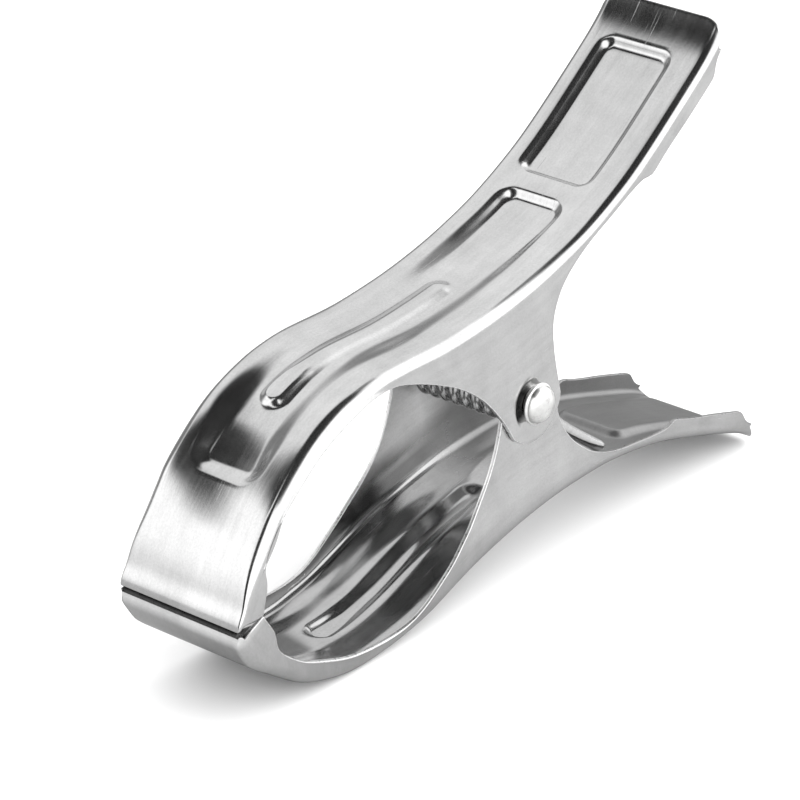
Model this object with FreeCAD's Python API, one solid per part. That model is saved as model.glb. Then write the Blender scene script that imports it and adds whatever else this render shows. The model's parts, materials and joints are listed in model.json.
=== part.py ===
import FreeCAD, Part
import os
from math import sin, cos, radians, pi, atan2
from FreeCAD import Vector

# Large sheet-steel spring clip of the clothes-peg kind: two pressed shells,
# one rivet through their ears and one torsion spring coiled on the rivet.
# Frame: origin at the middle of the closed jaw tips, +X towards the handles,
# +Y across the clip, +Z up through the upper shell.  Millimetres.
# Every part is built about the rivet axis (x = 0, z = 0) and then moved to
# PIVOT_X.  "Front" is the jaw side (-X), "back" the handle side (+X).

PIVOT_X = 66.9          # jaw tip to rivet axis

# ---- shells ---------------------------------------------------------------
WIDTH = 23.0            # outside width over the side flanges
HALF = WIDTH / 2
SHEET = 0.8             # sheet thickness
BEND_R = 1.8            # outside radius of the long bends
TIP_GAP = 0.10          # gap between the closed jaw edges
LUG_R = 6.53            # round lug of each ear, about the rivet axis
FLANGE_LOW = -9.24      # bottom of the untrimmed flanges
WEB_SAMPLES = 56        # points taken along the web for each offset curve
SIDE_MARGIN = 3.0       # side outline stands this far outside the flanges

# Lower ears, set inwards to run inside the upper ones
EAR_GAP = 0.05          # running gap between upper and lower ears
EAR_STEP = SHEET + EAR_GAP
EAR_FRONT = -35.2       # front end of the stepped zone
EAR_LENGTH = 56.1       # length of the stepped zone
EAR_PLATE_LENGTH = 66.0     # overlong, trimmed to the zone
STEP_TOP = 17.16        # heights between which the ears lean in
STEP_BOTTOM = 8.8

# Handle end
HANDLE_END = 53.02
HANDLE_CORNER_R = 4.0

# Pressed panels: x from, x to, half width, corner radius
RIB_HALF = 2.1
LONG_PANEL = (-53.24, 20.46, 5.8, 2.4)
RIB = (-44.0, -2.2, RIB_HALF, RIB_HALF - 0.05)     # stands inside the long panel
GRIP_PANEL = (23.32, 47.08, 6.6, 2.0)
PANEL_DEEP = 0.55       # how far the panels are pressed in
PANEL_REACH = HALF - 2  # half width of the web layers used for the panels

# Shallow dish round each rivet hole of the upper shell
DISH_R = 4.6
DISH_FLOOR_R = 3.3
DISH_DEEP = 0.40

# ---- rivet ----------------------------------------------------------------
PIN_R = 1.9
PIN_CLEAR = 0.05        # radial running clearance in the ears
HEAD_R = 3.5            # head rim radius
HEAD_RIM = 0.45         # rim thickness
HEAD_DOME = 1.55        # dome height over the rim
HEAD_STAND = 0.45       # gap under the rim, over the ear face
DOME_R = HEAD_R - 0.35  # dome radius where it meets the rim
CROWN_FLAT_R = 0.5      # small flat at the crown of each dome
COLLAR_R = 2.6          # collar between ear and head
COLLAR_CLEAR = 0.02     # gap from the dish floor to the collar

# ---- spring ---------------------------------------------------------------
WIRE_R = 1.0
COIL_R = 3.2            # mean coil radius
COIL_PITCH = 2.16       # close wound
COIL_TURNS = 7.75
COIL_LENGTH = COIL_PITCH * COIL_TURNS
COIL_START = radians(45)
POINTS_PER_TURN = 20
LEG_DRIFT = 0.02        # outward shift in y from one leg point to the next

# ---- side curves of the upper shell: x from the rivet axis, z over the
# ---- parting plane

# Outer face of the web, from jaw tip to handle end
WEB = [
    (-66.880, 0.000), (-66.264, 1.320), (-65.230, 2.640), (-64.350, 4.070),
    (-62.810, 6.380), (-60.610, 8.910), (-58.278, 11.330), (-55.572, 13.970),
    (-52.360, 16.390), (-48.224, 18.920), (-45.320, 20.306), (-42.240, 21.296),
    (-38.148, 22.066), (-34.496, 22.308), (-30.096, 22.176), (-25.696, 21.582),
    (-21.384, 20.790), (-16.918, 20.064), (-12.298, 19.624), (-7.766, 19.360),
    (-2.838, 19.272), (2.068, 19.426), (6.556, 19.734), (10.560, 20.152),
    (14.828, 20.746), (19.404, 21.780), (23.254, 22.902), (27.588, 24.376),
    (33.000, 26.708), (39.600, 29.964), (44.000, 32.208), (47.740, 34.232),
    (50.380, 35.948), (51.920, 37.180), (53.240, 38.390),
]

# Free edge of the flanges: jaw lobe, narrow belly flange, front of the ear
EDGE_FRONT = [
    (-61.600, TIP_GAP / 2), (-60.830, 1.870), (-60.170, 3.300), (-59.840, 4.840),
    (-59.840, 6.380), (-59.180, 8.030), (-57.684, 9.856), (-54.560, 12.672),
    (-50.600, 15.136), (-46.112, 17.446), (-40.700, 19.096), (-35.200, 19.976),
    (-31.900, 19.866), (-28.600, 18.964), (-24.200, 16.830), (-19.954, 13.970),
    (-15.840, 10.714), (-12.012, 6.600), (-9.570, 3.190), (-7.744, 0.220),
    (-6.226, -1.980),
]
# Back of the ear and the flange behind it
EDGE_BACK = [
    (6.336, -1.606), (6.050, 1.320), (5.896, 4.928), (5.984, 8.096),
    (6.578, 11.000), (7.700, 13.200), (9.460, 15.290), (11.880, 16.940),
    (14.960, 18.392), (17.600, 19.316), (20.394, 20.086), (23.364, 20.900),
    (26.334, 21.758), (29.260, 22.440),
]
# Deeper flange along the grip, then its rounded end
GRIP_EDGE = [
    EDGE_BACK[-1], (30.800, 22.528), (32.340, 22.264), (34.122, 23.012),
    (40.788, 26.312), (48.400, 30.052),
]
GRIP_END = [GRIP_EDGE[-1], (49.390, 30.800), (49.764, 31.900), (49.764, 34.320)]

# Box that closes the side outline round the web
OUTLINE_FRONT = -70.4
OUTLINE_BACK = 57.2
OUTLINE_TOP = 46.2
OUTLINE_BACK_RISE = 4.4     # rise from the grip end to the back of the box

# Lower spring leg, from the coil outwards: x, z
LEG = [
    (3.476, 0.440), (4.290, -1.870), (5.500, -4.664), (7.480, -7.744),
    (9.900, -10.714), (12.320, -13.354), (14.520, -15.620), (16.544, -17.666),
    (17.930, -19.052),
]


# ---- helpers ----------------------------------------------------------------
def at_y(points, y):
    """Vectors for (x, z) points in the plane at y."""
    return [Vector(x, y, z) for x, z in points]


def spline(vectors):
    curve = Part.BSplineCurve()
    curve.interpolate(vectors)
    return curve


def lines(vectors):
    """Straight edges joining the vectors in turn."""
    return [Part.LineSegment(start, end).toShape()
            for start, end in zip(vectors[:-1], vectors[1:])]


def arc(start, middle, end):
    return Part.Arc(start, middle, end).toShape()


def rounded_slab(x_from, x_to, half, radius):
    """Rounded rectangle in plan, standing through the web."""
    slab = Part.makeBox(x_to - x_from, 2 * half, 60, Vector(x_from, -half, 1.0))
    upright = [edge for edge in slab.Edges if len(edge.Vertexes) == 2
               and abs(edge.Vertexes[0].Point.z - edge.Vertexes[1].Point.z) > 1]
    return slab.makeFillet(radius, upright)


# ---- web and flanges --------------------------------------------------------
web_curve = spline(at_y(WEB, 0))


def offset_points(depth):
    """(x, z) points at a depth under the outer face of the web."""
    first, last = web_curve.FirstParameter, web_curve.LastParameter
    points = []
    for i in range(WEB_SAMPLES):
        parameter = first + (last - first) * i / (WEB_SAMPLES - 1)
        point = web_curve.value(parameter)
        tangent = web_curve.tangent(parameter)[0]
        points.append((point.x + tangent.z * depth, point.z - tangent.x * depth))
    return points


def belly(depth, half):
    """Everything under the web at a depth, as wide as half on each side."""
    points = offset_points(depth)
    front = points[0]
    corners = [points[-1]]
    low = FLANGE_LOW
    if depth > 0:
        # the hollow runs out past the open handle end and below the flanges
        tangent = web_curve.tangent(web_curve.LastParameter)[0]
        x, z = points[-1]
        corners.append((x + tangent.x * 6, z + tangent.z * 6))
        low -= 5
    corners += [(corners[-1][0], low), (front[0], low), front]
    edges = [spline(at_y(points, -half)).toShape()] + lines(at_y(corners, -half))
    return Part.Face(Part.Wire(edges)).extrude(Vector(0, 2 * half, 0))


def fillet_long(shape, radius, half):
    """Rounds the two long edges where web and flange meet."""
    picked = []
    for edge in shape.Edges:
        ys = [vertex.Point.y for vertex in edge.Vertexes]
        if len(ys) == 2 and all(abs(abs(y) - half) < 1e-6 for y in ys):
            if abs(ys[0] - ys[1]) < 1e-6 and "BSpline" in str(edge.Curve):
                picked.append(edge)
    return shape.makeFillet(radius, picked)


def web_layer(depth_from, depth_to):
    """A layer of the web between two depths, as wide as the panels need."""
    outer = at_y(offset_points(depth_from), -PANEL_REACH)
    inner = at_y(offset_points(depth_to), -PANEL_REACH)
    edges = [spline(outer).toShape(), *lines([outer[-1], inner[-1]]),
             spline(inner).toShape(), *lines([inner[0], outer[0]])]
    wire = Part.Wire(Part.sortEdges(edges)[0])
    return Part.Face(wire).extrude(Vector(0, 2 * PANEL_REACH, 0))


def side_outline():
    """Solid of the side outline that trims the flanges, wider than the clip."""
    y = -HALF - SIDE_MARGIN
    # the ear edges end on the lug circle
    front_angle = atan2(EDGE_FRONT[-1][1], EDGE_FRONT[-1][0])
    back_angle = atan2(EDGE_BACK[0][1], EDGE_BACK[0][0])
    angles = (front_angle, (front_angle + back_angle) / 2, back_angle)
    lug = at_y([(LUG_R * cos(angle), LUG_R * sin(angle)) for angle in angles], y)
    front = at_y(EDGE_FRONT[:-1], y) + [lug[0]]
    back = [lug[2]] + at_y(EDGE_BACK[1:], y)
    jaw_corner = (OUTLINE_FRONT, TIP_GAP / 2)
    surround = [GRIP_END[-1],
                (OUTLINE_BACK, GRIP_END[-1][1] + OUTLINE_BACK_RISE),
                (OUTLINE_BACK, OUTLINE_TOP),
                (OUTLINE_FRONT, OUTLINE_TOP),
                jaw_corner]
    edges = lines(at_y([jaw_corner, EDGE_FRONT[0]], y))
    edges += [spline(front).toShape(), arc(*lug), spline(back).toShape(),
              spline(at_y(GRIP_EDGE, y)).toShape(), spline(at_y(GRIP_END, y)).toShape()]
    edges += lines(at_y(surround, y))
    return Part.Face(Part.Wire(edges)).extrude(Vector(0, WIDTH + 2 * SIDE_MARGIN, 0))


def step_ears_in(body, side):
    """Replaces the ears by ones that lean in by one sheet and the gap."""
    zone = Part.makeBox(EAR_LENGTH, WIDTH + 4, STEP_TOP - FLANGE_LOW + 4,
                        Vector(EAR_FRONT, -HALF - 2, FLANGE_LOW - 4))
    body = body.cut(zone)
    outer = HALF - EAR_STEP
    inner = outer - SHEET
    section = [(HALF, STEP_TOP), (outer, STEP_BOTTOM), (outer, FLANGE_LOW),
               (inner, FLANGE_LOW), (inner, STEP_BOTTOM), (HALF - SHEET, STEP_TOP)]
    for sign in (-1, 1):
        corners = [Vector(EAR_FRONT, sign * y, z) for y, z in section]
        wire = Part.makePolygon(corners + corners[:1])
        plate = Part.Face(wire).extrude(Vector(EAR_PLATE_LENGTH, 0, 0))
        body = body.fuse(plate.common(side).common(zone))
    return body


def round_handle_end(body):
    """Rounds the handle corners in plan; the box spares everything in front."""
    keep = rounded_slab(-88.0, HANDLE_END, HALF, HANDLE_CORNER_R)
    keep = keep.fuse(Part.makeBox(72.6, WIDTH + 2, 40,
                                  Vector(OUTLINE_FRONT, -HALF - 1, -12)))
    return body.common(keep)


def press_panels(body):
    """Sinks the long panel round its rib, and the grip panel."""
    plans = [rounded_slab(*LONG_PANEL).cut(rounded_slab(*RIB)),
             rounded_slab(*GRIP_PANEL)]
    for plan in plans:
        body = body.cut(plan.common(web_layer(-0.5, SHEET + 0.02)))
        body = body.fuse(web_layer(PANEL_DEEP, PANEL_DEEP + SHEET).common(plan))
    return body


def shell(lower):
    """Either shell, shaped as the upper one; the lower is mirrored at the end."""
    outer = fillet_long(belly(0.0, HALF), BEND_R, HALF)
    inner = fillet_long(belly(SHEET, HALF - SHEET), BEND_R - SHEET, HALF - SHEET)
    side = side_outline()
    body = outer.cut(inner).common(side)
    if lower:
        body = step_ears_in(body, side)
    body = press_panels(round_handle_end(body))
    # rivet holes
    body = body.cut(Part.makeCylinder(PIN_R + PIN_CLEAR, WIDTH + 4,
                                      Vector(0, -HALF - 2, 0), Vector(0, 1, 0)))
    if not lower:
        for sign in (-1, 1):
            body = body.cut(Part.makeCone(DISH_FLOOR_R, DISH_R, DISH_DEEP,
                                          Vector(0, sign * (HALF - DISH_DEEP), 0),
                                          Vector(0, sign, 0)))
    body = body.removeSplitter()
    if lower:
        body = body.mirror(Vector(0, 0, 0), Vector(0, 0, 1))
    return body


# ---- rivet and spring -------------------------------------------------------
def rivet():
    """One headed pin: shank, a collar and a domed head at each end."""
    y_collar = HALF - DISH_DEEP + COLLAR_CLEAR
    y_rim = HALF + HEAD_STAND
    y_dome = y_rim + HEAD_RIM
    y_crown = y_dome + HEAD_DOME
    # radius and y: dome from the axis outwards, then rim to shank
    dome = [(CROWN_FLAT_R, y_crown),
            (DOME_R * 0.74, y_dome + HEAD_DOME * 0.66),
            (DOME_R, y_dome)]
    steps = [(DOME_R, y_dome), (HEAD_R, y_dome), (HEAD_R, y_rim),
             (COLLAR_R, y_rim), (COLLAR_R, y_collar), (PIN_R, y_collar)]

    def half_profile(points, sign):
        return [Vector(radius, sign * y, 0) for radius, y in points]

    near_dome = half_profile(dome, -1)
    far_dome = half_profile(dome, 1)[::-1]
    near_end, far_end = Vector(0, -y_crown, 0), Vector(0, y_crown, 0)
    edges = lines([near_end, near_dome[0]]) + [arc(*near_dome)]
    edges += lines(half_profile(steps, -1) + half_profile(steps, 1)[::-1])
    edges += [arc(*far_dome)] + lines([far_dome[-1], far_end, near_end])
    return Part.Face(Part.Wire(edges)).revolve(Vector(0, 0, 0), Vector(0, 1, 0), 360)


def spring_path():
    """Centre line: lower leg, close-wound coil about the rivet, upper leg."""
    y_start = -COIL_LENGTH / 2
    intervals = int(COIL_TURNS * POINTS_PER_TURN)
    coil = []
    for i in range(intervals + 1):
        fraction = i / intervals
        angle = COIL_START + fraction * COIL_TURNS * 2 * pi
        coil.append(Vector(COIL_R * cos(angle), y_start + fraction * COIL_LENGTH,
                           COIL_R * sin(angle)))
    lower = [Vector(x, y_start - LEG_DRIFT * i, z) for i, (x, z) in enumerate(LEG)]
    upper = [Vector(point.x, -point.y, -point.z) for point in lower]
    return lower[::-1] + coil + upper


def spring():
    curve = spline(spring_path())
    start = curve.FirstParameter
    circle = Part.Circle(curve.value(start), curve.tangent(start)[0], WIRE_R)
    path = Part.Wire([curve.toShape()])
    # solid, with the section carried in the Frenet frame
    wire = path.makePipeShell([Part.Wire([circle.toShape()])], True, True)
    if wire.Volume < 0:     # the sweep may come out inside out
        wire.reverse()
    return wire


def export(name, shape):
    """Moves a part from the rivet axis to its place and writes it."""
    shape.translate(Vector(PIVOT_X, 0, 0))
    solids = shape.Solids
    # a lone solid is written without the compound a boolean wraps it in
    piece = solids[0] if len(solids) == 1 else shape
    piece.exportStep("parts/%s.step" % name)


os.makedirs("parts", exist_ok=True)
export("upper_shell", shell(lower=False))
export("lower_shell", shell(lower=True))
export("pivot_rivet", rivet())
export("torsion_spring", spring())
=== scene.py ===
"""A spring clip: two pressed sheet-steel shells on a domed cross rivet, with a coiled spring.

X runs along the clip, from the jaw tips near x = 0 to the handle ends. The rivet lies
along Y. The closed jaws meet in the plane z = 0, with the upper shell above it. Shapes
are worked out in millimetres from the rivet axis and stored in metres.
"""
import json
import math

import bmesh
import bpy
import numpy as np
from mathutils import Matrix, Vector


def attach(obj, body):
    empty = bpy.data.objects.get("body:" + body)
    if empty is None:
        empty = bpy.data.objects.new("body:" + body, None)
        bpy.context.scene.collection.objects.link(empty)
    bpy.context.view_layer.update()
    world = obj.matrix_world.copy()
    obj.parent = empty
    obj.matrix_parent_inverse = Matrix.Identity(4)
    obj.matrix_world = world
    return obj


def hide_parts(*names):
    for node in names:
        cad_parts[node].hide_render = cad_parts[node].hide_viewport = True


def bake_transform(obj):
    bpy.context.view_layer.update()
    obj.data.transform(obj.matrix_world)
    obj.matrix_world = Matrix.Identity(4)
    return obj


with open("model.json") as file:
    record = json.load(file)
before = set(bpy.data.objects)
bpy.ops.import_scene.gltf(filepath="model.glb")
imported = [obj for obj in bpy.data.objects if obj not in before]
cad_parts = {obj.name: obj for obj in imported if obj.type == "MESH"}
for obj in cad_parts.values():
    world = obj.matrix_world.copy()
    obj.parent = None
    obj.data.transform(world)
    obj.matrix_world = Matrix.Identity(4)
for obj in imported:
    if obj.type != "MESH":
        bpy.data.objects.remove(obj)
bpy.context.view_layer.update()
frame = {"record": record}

MM = 0.001
PIVOT_X = frame["record"]["behaviour"]["joints"][0]["pos_m"][0] / MM
PIVOT_M = PIVOT_X * MM      # the same place in metres

# ------------------------------------------------------------- dimensions, mm
UNIT = 22.0                 # one unit of the side curves below
HALF = 11.5                 # half the width over the flanges
SHEET = 0.64                # sheet thickness
END_BEND = 1.8              # bend radius used when trimming the two ends
JAW_GAP = 0.05              # half of the gap between the closed jaw edges
EAR_STEP = 0.76             # inward lean of the lower ears
EAR_RELIEF = 0.11           # extra inward step of the lower ears round the rivet
EAR_DISH = 0.20             # the upper ears are sunk this much round the rivet
LUG_RADIUS = 6.53           # ear below the rivet
HOLE_RADIUS = 1.98
END_CORNER = 4.0            # corner radius of the handle end
OUTER_ROUND, INNER_ROUND = 0.17, 0.12       # softening of the sheet's two rims
LOWER_BELLY = 2.8           # extra draw of the lower jaw

# ---------------------------------------------------- side curves, (x, z) in UNITs
# outside of the web, from jaw tip to handle end
WEB = [
    (-3.040, 0.000), (-3.012, 0.060), (-2.965, 0.120), (-2.925, 0.185), (-2.855, 0.290),
    (-2.755, 0.405), (-2.649, 0.515), (-2.526, 0.635), (-2.380, 0.745), (-2.192, 0.860),
    (-2.060, 0.923), (-1.920, 0.968), (-1.734, 1.003), (-1.568, 1.014), (-1.368, 1.008),
    (-1.168, 0.981), (-0.972, 0.945), (-0.769, 0.912), (-0.559, 0.892), (-0.353, 0.880),
    (-0.129, 0.876), (0.094, 0.883), (0.298, 0.897), (0.480, 0.916), (0.674, 0.943),
    (0.882, 0.990), (1.057, 1.041), (1.254, 1.108), (1.500, 1.214), (1.800, 1.362),
    (2.000, 1.464), (2.170, 1.556), (2.290, 1.634), (2.360, 1.690), (2.420, 1.745)]
# free edge of the flanges, from the jaw tip to the ear
FRONT = [
    (-2.800, 0.000), (-2.765, 0.085), (-2.735, 0.150), (-2.720, 0.220), (-2.720, 0.290),
    (-2.690, 0.365), (-2.622, 0.448), (-2.480, 0.576), (-2.300, 0.688), (-2.096, 0.793),
    (-1.850, 0.868), (-1.600, 0.908), (-1.440, 0.907), (-1.275, 0.868), (-1.139, 0.800),
    (-1.010, 0.726), (-0.876, 0.637), (-0.770, 0.562), (-0.679, 0.486), (-0.595, 0.405),
    (-0.519, 0.321), (-0.426, 0.193), (-0.355, 0.072), (-0.300, -0.035), (-0.252, -0.157)]
# the lower shell follows the same curve for its first eleven points
FRONT_LOW = FRONT[:11] + [
    (-1.600, 0.908), (-1.450, 0.904), (-1.300, 0.868), (-1.120, 0.790), (-0.951, 0.702),
    (-0.866, 0.646), (-0.775, 0.588), (-0.691, 0.522), (-0.570, 0.412), (-0.456, 0.273),
    (-0.370, 0.127), (-0.318, 0.010), (-0.262, -0.140)]
# free edge from the ear to the handle, upper and lower shell
BACK = [
    (0.288, -0.073), (0.275, 0.060), (0.268, 0.224), (0.272, 0.368), (0.299, 0.500),
    (0.350, 0.600), (0.430, 0.695), (0.540, 0.770), (0.680, 0.836), (0.800, 0.878),
    (0.927, 0.913), (1.062, 0.950), (1.197, 0.989), (1.330, 1.020)]
BACK_LOW = [
    (0.288, -0.073), (0.279, 0.060), (0.274, 0.180), (0.283, 0.290), (0.322, 0.413),
    (0.384, 0.538), (0.463, 0.641), (0.547, 0.724), (0.695, 0.819), (0.853, 0.888),
    (0.960, 0.922), (1.062, 0.950), (1.197, 0.989), (1.330, 1.020)]
# free edge along the handle, and its upturned end
GRIP = [(1.330, 1.020), (1.400, 1.024), (1.470, 1.012), (1.551, 1.046), (1.854, 1.196),
        (2.200, 1.366)]
GRIP_END = [(2.200, 1.366), (2.243, 1.396), (2.266, 1.440), (2.290, 1.496), (2.350, 1.556)]
# which web point (x, z) each free-edge point (x, z) is tied to
TIES = [
    (-2.965, 0.120, -2.752, 0.115), (-2.855, 0.290, -2.720, 0.245),
    (-2.755, 0.405, -2.690, 0.365), (-2.526, 0.635, -2.470, 0.583),
    (-2.192, 0.860, -2.160, 0.762), (-1.734, 1.003, -1.730, 0.890),
    (-1.480, 1.013, -1.450, 0.903), (-1.330, 1.004, -1.300, 0.862),
    (-1.150, 0.978, -1.100, 0.765), (-0.960, 0.943, -0.907, 0.635),
    (-0.760, 0.910, -0.720, 0.487), (-0.560, 0.892, -0.546, 0.300),
    (-0.420, 0.884, -0.400, 0.085), (-0.300, 0.880, -0.283, -0.090),
    (-0.040, 0.878, 0.000, -0.297), (0.200, 0.888, 0.288, -0.073),
    (0.270, 0.895, 0.268, 0.224), (0.330, 0.900, 0.272, 0.368),
    (0.410, 0.908, 0.299, 0.500), (0.510, 0.920, 0.350, 0.600),
    (0.610, 0.934, 0.430, 0.695), (0.710, 0.950, 0.540, 0.770),
    (0.800, 0.970, 0.700, 0.843), (0.900, 0.995, 0.900, 0.906),
    (1.200, 1.089, 1.235, 0.998), (1.370, 1.157, 1.415, 1.024),
    (1.530, 1.227, 1.610, 1.073), (2.140, 1.540, 2.215, 1.374)]


# --------------------------------------------------------------- curve tools
def spline(points, count):
    """Natural cubic spline through the points, sampled evenly.

    Knots are spaced by distance in the first two columns only.
    """
    points = np.asarray(points, float)
    steps = np.diff(points, axis=0)
    knots = np.r_[0, np.cumsum(np.hypot(steps[:, 0], steps[:, 1]))]
    size = len(points)
    gap = np.diff(knots)
    system = np.zeros((size, size))
    rhs = np.zeros((size, points.shape[1]))
    system[0, 0] = system[-1, -1] = 1
    for i in range(1, size - 1):
        system[i, i - 1] = gap[i - 1]
        system[i, i] = 2 * (gap[i - 1] + gap[i])
        system[i, i + 1] = gap[i]
        rhs[i] = 6 * ((points[i + 1] - points[i]) / gap[i]
                      - (points[i] - points[i - 1]) / gap[i - 1])
    bend = np.linalg.solve(system, rhs)
    where = np.linspace(0, knots[-1], count)
    k = np.clip(np.searchsorted(knots, where, side="right") - 1, 0, size - 2)
    before = ((knots[k + 1] - where) / gap[k])[:, None]
    after = ((where - knots[k]) / gap[k])[:, None]
    square = (gap[k] ** 2)[:, None]
    curve = (before ** 3 - before) * bend[k] + (after ** 3 - after) * bend[k + 1]
    return before * points[k] + after * points[k + 1] + curve * square / 6


def lengths(points):
    """Running length along a polyline."""
    return np.r_[0, np.cumsum(np.linalg.norm(np.diff(points, axis=0), axis=1))]


def resample(points, where):
    """Points of a polyline at the given running lengths; `where` takes the total length."""
    run = lengths(points)
    places = where(run[-1])
    return np.column_stack([np.interp(places, run, column) for column in points.T])


def relax(points, passes):
    """Smooths a polyline in place, leaving its ends where they are."""
    for _ in range(passes):
        points[1:-1] = (points[:-2] + points[2:] + 2 * points[1:-1]) / 4


def unit_rows(vectors):
    return vectors / np.linalg.norm(vectors, axis=1)[:, None]


def smooth(x):
    x = np.clip(x, 0.0, 1.0)
    return x * x * (3 - 2 * x)


# ------------------------------------------------------------- line of the web
WEB_LINE = spline(np.array(WEB) * UNIT, 4001)
WEB_RUN = lengths(WEB_LINE)
WEB_LENGTH = WEB_RUN[-1]
WEB_TANGENT = unit_rows(np.gradient(WEB_LINE, WEB_RUN, axis=0))
# smoothed so that reflections run clean along the sheet
relax(WEB_TANGENT, passes=60)
WEB_TANGENT = unit_rows(WEB_TANGENT)


def web_at(along):
    """Place and unit tangent (x, z, tangent x, tangent z) of the web at a length along it."""
    x = np.interp(along, WEB_RUN, WEB_LINE[:, 0])
    z = np.interp(along, WEB_RUN, WEB_LINE[:, 1])
    tan_x = np.interp(along, WEB_RUN, WEB_TANGENT[:, 0])
    tan_z = np.interp(along, WEB_RUN, WEB_TANGENT[:, 1])
    size = np.hypot(tan_x, tan_z)
    return x, z, tan_x / size, tan_z / size


def station_at(x):
    """Length along the web, in mm, where it passes x, given in UNITs."""
    return WEB_RUN[np.argmin(np.abs(WEB_LINE[:, 0] - x * UNIT))]


# --------------------------------------------------- pressed areas of the web
# where each starts and ends along the web, and its half width
PANEL_START, PANEL_END, PANEL_HALF = station_at(-2.43), station_at(0.925) - 0.9, 5.5
RIB_START, RIB_END, RIB_HALF = station_at(-2.00) + 1.9, station_at(-0.13), 1.65
GRIP_START, GRIP_STOP, GRIP_HALF = station_at(1.06) + 0.5, station_at(2.14), 6.3
HOLLOW_START, HOLLOW_END, HOLLOW_HALF = station_at(-2.72), station_at(-1.55), 9.3
PANEL_CORNER, GRIP_CORNER = 2.3, 2.0


def rounded_box(along, across, start, end, half, corner):
    """Signed distance to a rounded rectangle, negative within it."""
    far_s = np.abs(along - (start + end) / 2) - (end - start) / 2 + corner
    far_y = np.abs(across) - half + corner
    return (np.hypot(np.maximum(far_s, 0), np.maximum(far_y, 0))
            + np.minimum(np.maximum(far_s, far_y), 0) - corner)


def pressing(along, across, die_shift):
    """Depth pressed into the web; die_shift moves the dies across."""
    y = across - die_shift
    # long panel: depth and wall width change towards its jaw and handle ends
    jaw_end = 1 - smooth((along - PANEL_START) / 11.0)
    handle_end = 1 - smooth((PANEL_END - along) / 27.0)
    depth = 0.88 + 0.22 * jaw_end + 0.30 * handle_end
    wall = 4.9 - 2.3 * jaw_end - 3.1 * handle_end
    away = rounded_box(along, y, PANEL_START, PANEL_END, PANEL_HALF, PANEL_CORNER)
    panel = depth * smooth(0.5 - away / wall)
    # round-topped rib standing in the panel, fuller at its jaw end
    past = np.abs(along - (RIB_START + RIB_END) / 2) - (RIB_END - RIB_START) / 2 + RIB_HALF
    radius = np.hypot(np.maximum(past, 0), y)
    bulb = 1 - smooth(np.abs(along - RIB_START - 2.6) / 9.0)
    half = RIB_HALF + 0.25 * bulb
    flank = 2.6 - 0.75 * bulb
    rib = (0.74 + 0.34 * bulb) * smooth((half - radius) / flank + 0.5)
    # sunk area on the handle
    away = rounded_box(along, y, GRIP_START, GRIP_STOP, GRIP_HALF, GRIP_CORNER)
    grip = 0.95 * smooth(0.5 - away / 1.6)
    # the belly of the jaw is a little hollow across
    reach = smooth((along - HOLLOW_START) / 7.0) * smooth((HOLLOW_END - along) / 12.0)
    hollow = 0.45 * reach * np.maximum(0, 1 - (across / HOLLOW_HALF) ** 2) ** 2
    return np.maximum(panel - rib * (panel > 0), 0) + grip + hollow


# ------------------------------------------------------------- grid of a shell
def web_stations():
    """Grid rows along the web, closer where the shape changes fast."""
    # place, step there, growth of the step per mm away
    fine_spots = [
        (0, 0.30, 0.10), (WEB_LENGTH, 0.42, 0.14),
        (PANEL_START, 0.26, 0.16), (PANEL_END, 0.26, 0.16),
        (RIB_START + 0.8, 0.26, 0.16), (RIB_END - 0.5, 0.32, 0.16),
        (GRIP_START, 0.28, 0.18), (GRIP_STOP, 0.3, 0.2)]
    lug = station_at(-0.02)

    def step(along):
        size = 0.85
        for spot, finest, growth in fine_spots:
            size = min(size, finest + abs(along - spot) * growth)
        return min(size, 0.34 + max(0, abs(along - lug) - 6.3) * 0.12)

    rows = [0.0]
    while rows[-1] < WEB_LENGTH:
        rows.append(rows[-1] + step(rows[-1]))
    rows = np.array(rows)
    return rows * WEB_LENGTH / rows[-1]


GRID_HALF = 9.2             # half width of the web in its column scale
BEND_STEPS = 9              # columns round each bend
FLANGE_STEPS = 46           # columns down each flange


def web_columns():
    """Grid columns across the web, closer at the panel walls and the rib's flanks."""
    def step(y):
        return min(0.5, 0.26 + abs(abs(y) - 5.5) * 0.10, 0.24 + abs(abs(y) - 1.6) * 0.12)

    places = [0.0]
    while places[-1] < GRID_HALF:
        places.append(places[-1] + step(places[-1]))
    places = np.array(places) * GRID_HALF / places[-1]
    return np.r_[-places[::-1], places[1:]]


def shell_columns():
    """(kind, side, place) of every column, from the -Y free edge to the +Y free edge.

    Place is a fraction of the bend or flange, or the width across the web.
    """
    # denser towards the free edge
    fractions = np.interp(np.linspace(0, 1, FLANGE_STEPS + 1), [0, 0.22, 1.0], [0, 0.44, 1.0])
    half = [("bend", 1, k / BEND_STEPS) for k in range(1, BEND_STEPS + 1)]
    half += [("flange", 1, place) for place in fractions[1:]]
    mirrored = [(kind, -1, place) for kind, _, place in half[::-1]]
    return mirrored + [("web", 0, y) for y in web_columns()] + half


STATIONS = web_stations()
COLUMNS = shell_columns()
ROW_COUNT, COLUMN_COUNT = len(STATIONS), len(COLUMNS)
LAST_ROW, LAST_COLUMN = ROW_COUNT - 1, COLUMN_COUNT - 1
IS_WEB = np.array([kind == "web" for kind, _, _ in COLUMNS])
IS_FLANGE = np.array([kind == "flange" for kind, _, _ in COLUMNS])
FLANGE_SIDE = np.array([side if kind == "flange" else 0 for kind, side, _ in COLUMNS], float)
# grid points (row, column) once round the rim
RIM = ([(0, j) for j in range(COLUMN_COUNT)]
       + [(i, LAST_COLUMN) for i in range(1, ROW_COUNT)]
       + [(LAST_ROW, j) for j in range(LAST_COLUMN - 1, -1, -1)]
       + [(i, 0) for i in range(LAST_ROW - 1, 0, -1)])


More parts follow.
